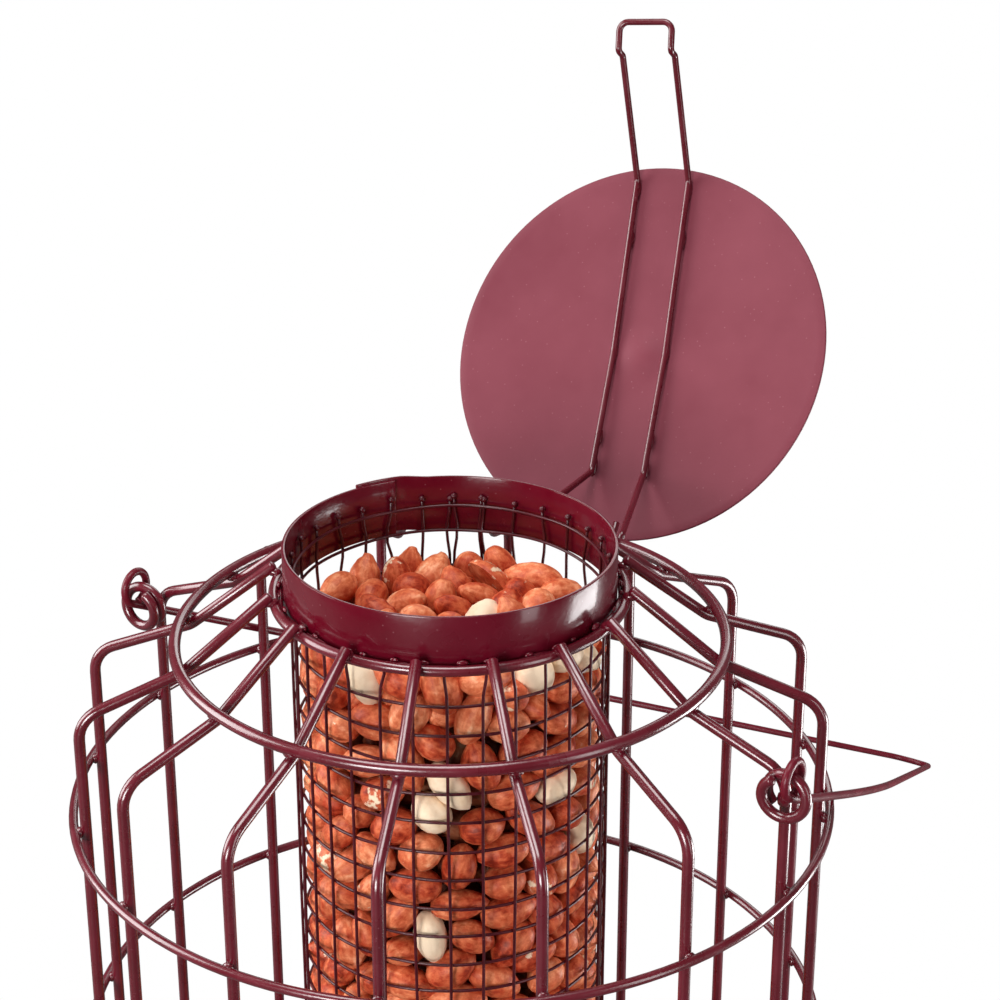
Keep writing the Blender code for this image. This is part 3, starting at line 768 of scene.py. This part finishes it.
def hangingBail():
    eye = []
    for i in range(31):
        angle = -math.pi / 2 - math.radians(bail["turn"]) * (1 - i / 30)
        eye.append(Vector((bail["x"], bail["eye"] * math.cos(angle), bail["eye"] * math.sin(angle))))
    right = eye + [Vector(bail["elbow"]), Vector(bail["bow"])]
    left = [Vector((-p.x, p.y, p.z)) for p in reversed(right)]
    elbow, bow, apex = bail["bends"]
    bends = [0.0] * (len(eye) - 1) + [elbow, bow]
    path = roundedPath(right + [Vector(bail["apex"])] + left, bends + [apex] + bends[::-1], steps=10)
    piece = wirePiece("bailWire", [path], bail["thick"])
    lowered = Matrix.Rotation(math.radians(bail["rest"]), 4, "X")
    piece.data.transform(Matrix.Translation(Vector(bail["pivot"]) * mm) @ lowered)
    handIn(piece, coatOf["bail"], "wine_powder_coat", "bail", "hanging_bail")


hangingBail()
print("stage: bail")


# peanuts: a few kernels modelled once, then settled against the net and heaped on top

kernels = {
    "plump": {"size": (9.4, 8.9, 13.2), "tip": 0.40, "lean": 0.4, "taper": 0.93, "heavy": 1.02},
    "long": {"size": (8.9, 8.3, 15.2), "tip": 0.55, "lean": -0.6, "taper": 0.90, "heavy": 1.02},
    "round": {"size": (9.7, 9.2, 11.6), "tip": 0.25, "lean": 0.5, "taper": 0.95, "heavy": 1.01},
    "slanted": {"size": (9.2, 8.5, 13.8), "tip": 0.60, "lean": 1.3, "taper": 0.90, "heavy": 1.04},
}
kernelParts = {
    # where each part starts, as a share of the length up from the middle
    "belly": -0.12, "drawn": (0.14, 0.32), "tip": 0.47, "bottom": -0.48,
    "leanShare": 0.3, "flattened": 0.25, "splitAt": 0.2,
    # sides and rows of a kernel at the net and of one on top
    "plain": (12, 9), "fine": (28, 20),
}
heap = {
    # the space for the nuts, and the three balls that stand for each while they settle
    "reach": 37.5, "low": 3.2, "wallTop": 233.0,
    "ball": 4.4, "half": 2.4, "rounds": 48, "push": 0.26, "seed": 17,
    # how many lie at the net, behind those and on top, and how the top is heaped
    "atNet": 455, "behind": 300, "onTop": 100, "behindReach": 30.5,
    "crown": 228.5, "crownFall": 3.0, "topLow": 225.0, "topLimit": 246.0, "topInset": 0.6, "topLie": 0.4,
    "sink": 0.3, "pull": 0.35, "support": 20,
    # for each part: how far out the nuts start, the seed that rolls them and the share of blanched ones
    "starts": (0.88, 0.8, 0.0), "rollSeeds": (5, 6, 7), "blanched": (0.035, 0.02, 0.06),
    # shares of split nuts on top and of nuts with torn skin, and how bare those are
    "split": 0.07, "splitBare": 0.16, "torn": 0.20, "tornBare": (0.08, 0.18), "size": (0.92, 1.05),
    # the profile of the dark core in the heap's middle, painted shade where hidden nuts would lie
    "core": [(0.0, 3.4), (18.0, 3.4), (22.0, 8.0), (22.0, 220.0), (16.0, 228.0), (0.0, 230.0)],
}


def kernel(name, form, sides, rows):
    # an egg of skin and flesh: blunt below, drawn in towards a small leaning tip above
    bpy.ops.mesh.primitive_uv_sphere_add(segments=sides, ring_count=rows, radius=mm)
    nut = bpy.context.object
    nut.name = name
    wide, deep, tall = form["size"]
    lean = form["lean"] * kernelParts["leanShare"] * mm
    editing(nut, "SELECT")
    bpy.ops.transform.resize(value=(wide / 2, deep / 2, tall / 2))
    pickVertices(nut, lambda co: co.z < tall * kernelParts["belly"] * mm)
    bpy.ops.transform.resize(value=(form["heavy"], form["heavy"], 1.0), center_override=(0, 0, 0))
    narrow = form["taper"] ** 0.5
    for share in kernelParts["drawn"]:
        pickVertices(nut, lambda co: co.z > tall * share * mm)
        bpy.ops.transform.resize(value=(narrow, narrow, 1.0), center_override=(0, 0, 0))
        bpy.ops.transform.translate(value=(lean, 0.0, 0.0))
    pickVertices(nut, lambda co: co.z > tall * kernelParts["tip"] * mm)
    bpy.ops.transform.translate(value=(lean, 0.0, form["tip"] * mm))
    pickVertices(nut, lambda co: co.z < tall * kernelParts["bottom"] * mm)
    bpy.ops.transform.translate(value=(0.0, 0.0, kernelParts["flattened"] * mm))
    onlyThis(nut)
    bpy.ops.object.shade_smooth()
    return nut


def halved(nut):
    # one half of a split kernel, with the flat face that it parts on
    editing(nut, "SELECT")
    split = (0, kernelParts["splitAt"] * mm, 0)
    bpy.ops.mesh.bisect(plane_co=split, plane_no=(0, 1, 0), use_fill=True, clear_outer=True)
    onlyThis(nut)
    bpy.ops.object.shade_smooth_by_angle(angle=math.radians(50))
    return nut


def settled(count, seed, start, reach, low, high, pull=0.0, lie=0.75, still=None, floor=None):
    # every nut is three balls in a row, pushed off its neighbours and off the balls that lie still
    dice = np.random.default_rng(seed)
    ball, half = heap["ball"], heap["half"]
    rank = np.arange(count)
    goldenAngle = math.pi * (3 - math.sqrt(5))
    bearing = rank * goldenAngle + dice.uniform(-0.2, 0.2, count)
    out = (reach - ball) * np.sqrt(dice.uniform(start ** 2, 1.0, count))
    tall = low + ball + (rank + 0.5) / count * (high - low - 2 * ball)
    centre = np.stack([out * np.cos(bearing), out * np.sin(bearing), tall], 1)
    axis = dice.normal(size=(count, 3)) * np.array([1.0, 1.0, lie])
    axis /= np.linalg.norm(axis, axis=1, keepdims=True)
    along = np.array([-half, 0.0, half])[None, :, None]
    owner = np.repeat(np.arange(count), 3)
    others = np.empty((0, 3)) if still is None else still
    owners = np.concatenate([owner, np.full(len(others), -1)])
    apart = owner[:, None] != owners[None, :]
    for _ in range(heap["rounds"]):
        balls = (centre[:, None, :] + axis[:, None, :] * along).reshape(-1, 3)
        around = np.concatenate([balls, others])
        gap = balls[:, None, :] - around[None, :, :]
        far = np.sqrt((gap ** 2).sum(2)) + 1e-9
        press = np.where(apart & (far < 2 * ball), (2 * ball - far) / far, 0.0)
        balls = balls + (gap * press[:, :, None]).sum(1) * heap["push"]
        away = np.hypot(balls[:, 0], balls[:, 1]) + 1e-9
        if floor:
            balls[:, 2] -= heap["sink"]
            balls[:, 2] = np.maximum(balls[:, 2], floor(away) + ball)
        wanted = np.minimum(away + pull, reach - ball)
        balls[:, :2] *= (wanted / away)[:, None]
        balls[:, 2] = np.clip(balls[:, 2], low + ball, high - ball)
        balls = balls.reshape(count, 3, 3)
        centre = balls.mean(1)
        axis = balls[:, 2] - balls[:, 0]
        axis /= np.linalg.norm(axis, axis=1, keepdims=True)
    return centre, axis, (centre[:, None, :] + axis[:, None, :] * along).reshape(-1, 3)


def marked(piece, name, value):
    mark = piece.data.attributes.new(name, "FLOAT", "POINT")
    mark.data.foreach_set("value", [value] * len(piece.data.vertices))


def scattered(name, nuts, centre, axis, seed, blanched, halves=()):
    # a nut at each settled place, rolled and sized at random, with its shade and bareness marked
    chance = random.Random(seed)
    pieces = []
    for spot, aim in zip(centre, axis):
        kind = chance.random()
        bare = 0.0
        base = nuts[chance.randrange(len(nuts))]
        if halves and kind < heap["split"]:
            base = halves[chance.randrange(len(halves))]
            bare = heap["splitBare"]
        elif kind > 1.0 - blanched:
            bare = 1.0
        elif kind > 1.0 - heap["torn"]:
            bare = chance.uniform(*heap["tornBare"])
        turn = Vector(aim).to_track_quat("Z", "Y").to_matrix().to_4x4()
        roll = Matrix.Rotation(chance.uniform(0, math.tau), 4, "Z")
        size = chance.uniform(*heap["size"])
        twin = copyAt(base, Matrix.Translation(Vector(spot) * mm) @ turn @ roll @ Matrix.Scale(size, 4))
        marked(twin, "nutTone", chance.random())
        marked(twin, "nutBare", bare)
        pieces.append(twin)
    return joined(name, pieces)


def crownFloor(away):
    # the level that the top nuts settle onto, falling slightly from the middle
    return heap["crown"] - heap["crownFall"] * (away / heap["reach"]) ** 2


def peanuts():
    plain = [kernel("nut_" + key, form, *kernelParts["plain"]) for key, form in kernels.items()]
    fine = [kernel("fineNut_" + key, form, *kernelParts["fine"]) for key, form in kernels.items()]
    cut = [halved(kernel("halfNut_" + key, kernels[key], *kernelParts["fine"])) for key in ("plump", "long")]
    seed, reach, low, high = heap["seed"], heap["reach"], heap["low"], heap["wallTop"]
    starts, rolls, blanched = heap["starts"], heap["rollSeeds"], heap["blanched"]
    centre, axis, resting = settled(heap["atNet"], seed, starts[0], reach, low, high, heap["pull"])
    outer = scattered("nutsAtNet", plain, centre, axis, rolls[0], blanched[0])
    handIn(outer, nutSkin, "peanuts", "feeder", "peanut_fill")
    centre, axis, behind = settled(
        heap["behind"], seed + 1, starts[1], heap["behindReach"], low, high - 1, still=resting,
    )
    inner = scattered("nutsBehind", plain, centre, axis, rolls[1], blanched[1])
    # the nuts behind wear the darkened material: painted shade
    handIn(inner, nutPaintedShade, "peanuts", "feeder", "peanut_fill")
    resting = np.concatenate([resting, behind])
    resting = resting[resting[:, 2] > high - heap["support"]]
    centre, axis, resting = settled(
        heap["onTop"], seed + 2, starts[2], reach - heap["topInset"], heap["topLow"], heap["topLimit"],
        lie=heap["topLie"], still=resting, floor=crownFloor,
    )
    top = scattered("nutsOnTop", fine, centre, axis, rolls[2], blanched[2], cut)
    handIn(top, nutSkin, "peanuts", "feeder")
    # a solid core in the darkened material with a low tone: painted shade in the middle of the heap
    core = spunPiece("nutCore", heap["core"], 40)
    marked(core, "nutTone", 0.1)
    marked(core, "nutBare", 0.0)
    handIn(core, nutPaintedShade, "peanuts", "feeder", "peanut_fill")
    for piece in plain + fine + cut:
        thrownAway(piece)


peanuts()
print("stage: peanuts")


# studio: pale floor, soft light and the camera at the photograph's angle

studio = {
    "floor": 0.08, "floorSize": 8.0, "floorRough": 0.7, "sky": 0.12, "seen": 1.0,
    "softboxes": [
        # place, width, height, power
        ((-1.00, -0.45, 0.65), 0.80, 1.00, 19.0),
        ((0.12, -1.05, 0.42), 0.4, 0.4, 10.0),
        ((0.95, -0.10, 0.35), 0.20, 0.8, 2.6),
        ((-0.10, -0.05, 1.25), 0.6, 0.6, 9.0),
        ((-0.35, 1.10, 0.70), 0.8, 0.5, 3.0),
        ((0.337, 0.278, 0.09), 0.21, 0.17, 1.5),
    ],
    "aim": (0.0, 0.02, 0.20),
    "camera": (0.30117, -0.46628, 0.52021), "lens": 91.45,
    "right": (0.85184, 0.52380, -0.00100), "forward": (-0.47884, 0.77796, -0.40680),
}


def whiteWhereSeen(tree, plain, out, whiteKind):
    # the camera sees a white sweep, while the object is lit and mirrored by a duller one
    path = node(tree, "ShaderNodeLightPath", (-400, 300))
    white = node(tree, whiteKind, (-200, -100))
    white.inputs["Color"].default_value = (1.0, 1.0, 1.0, 1.0)
    white.inputs["Strength"].default_value = studio["seen"]
    mixed = node(tree, "ShaderNodeMixShader", (100, 0))
    tree.links.new(path.outputs["Is Camera Ray"], mixed.inputs["Fac"])
    tree.links.new(plain.outputs[0], mixed.inputs[1])
    tree.links.new(white.outputs[0], mixed.inputs[2])
    tree.links.new(mixed.outputs[0], out.inputs["Surface"])


def floorAndSky():
    bpy.ops.mesh.primitive_plane_add(size=studio["floorSize"], location=(0, 0, 0))
    floor = bpy.context.object
    floor.name = "studioFloor"
    sweep = bpy.data.materials.new("pale_floor")
    sweep.use_nodes = True
    nodes = sweep.node_tree.nodes
    shader = nodes["Principled BSDF"]
    shader.inputs["Base Color"].default_value = (studio["floor"], studio["floor"], studio["floor"], 1.0)
    shader.inputs["Roughness"].default_value = studio["floorRough"]
    whiteWhereSeen(sweep.node_tree, shader, nodes["Material Output"], "ShaderNodeEmission")
    floor.data.materials.append(sweep)
    world = bpy.data.worlds.new("studioSky")
    world.use_nodes = True
    nodes = world.node_tree.nodes
    sky = nodes["Background"]
    sky.inputs["Color"].default_value = (1.0, 1.0, 1.0, 1.0)
    sky.inputs["Strength"].default_value = studio["sky"]
    whiteWhereSeen(world.node_tree, sky, nodes["World Output"], "ShaderNodeBackground")
    bpy.context.scene.world = world


def lamps():
    for i, (place, wide, tall, power) in enumerate(studio["softboxes"]):
        lamp = bpy.data.lights.new(f"softbox{i + 1}", "AREA")
        lamp.shape = "RECTANGLE"
        lamp.size = wide
        lamp.size_y = tall
        lamp.energy = power
        holder = bpy.data.objects.new(f"softbox{i + 1}", lamp)
        holder.location = place
        aim = Vector(studio["aim"]) - Vector(place)
        holder.rotation_euler = aim.to_track_quat("-Z", "Y").to_euler()
        bpy.context.scene.collection.objects.link(holder)


def photoCamera():
    lens = bpy.data.cameras.new("studioCamera")
    lens.lens = studio["lens"]
    lens.sensor_width = 36.0
    lens.clip_start = 0.01
    camera = bpy.data.objects.new("studioCamera", lens)
    right = Vector(studio["right"]).normalized()
    forward = Vector(studio["forward"]).normalized()
    up = right.cross(forward).normalized()
    turn = Matrix((right, up, -forward)).transposed().to_4x4()
    camera.matrix_world = Matrix.Translation(studio["camera"]) @ turn
    bpy.context.scene.collection.objects.link(camera)
    bpy.context.scene.camera = camera
    bpy.context.scene.view_settings.view_transform = "Standard"


floorAndSky()
lamps()
photoCamera()
print("stage: studio")
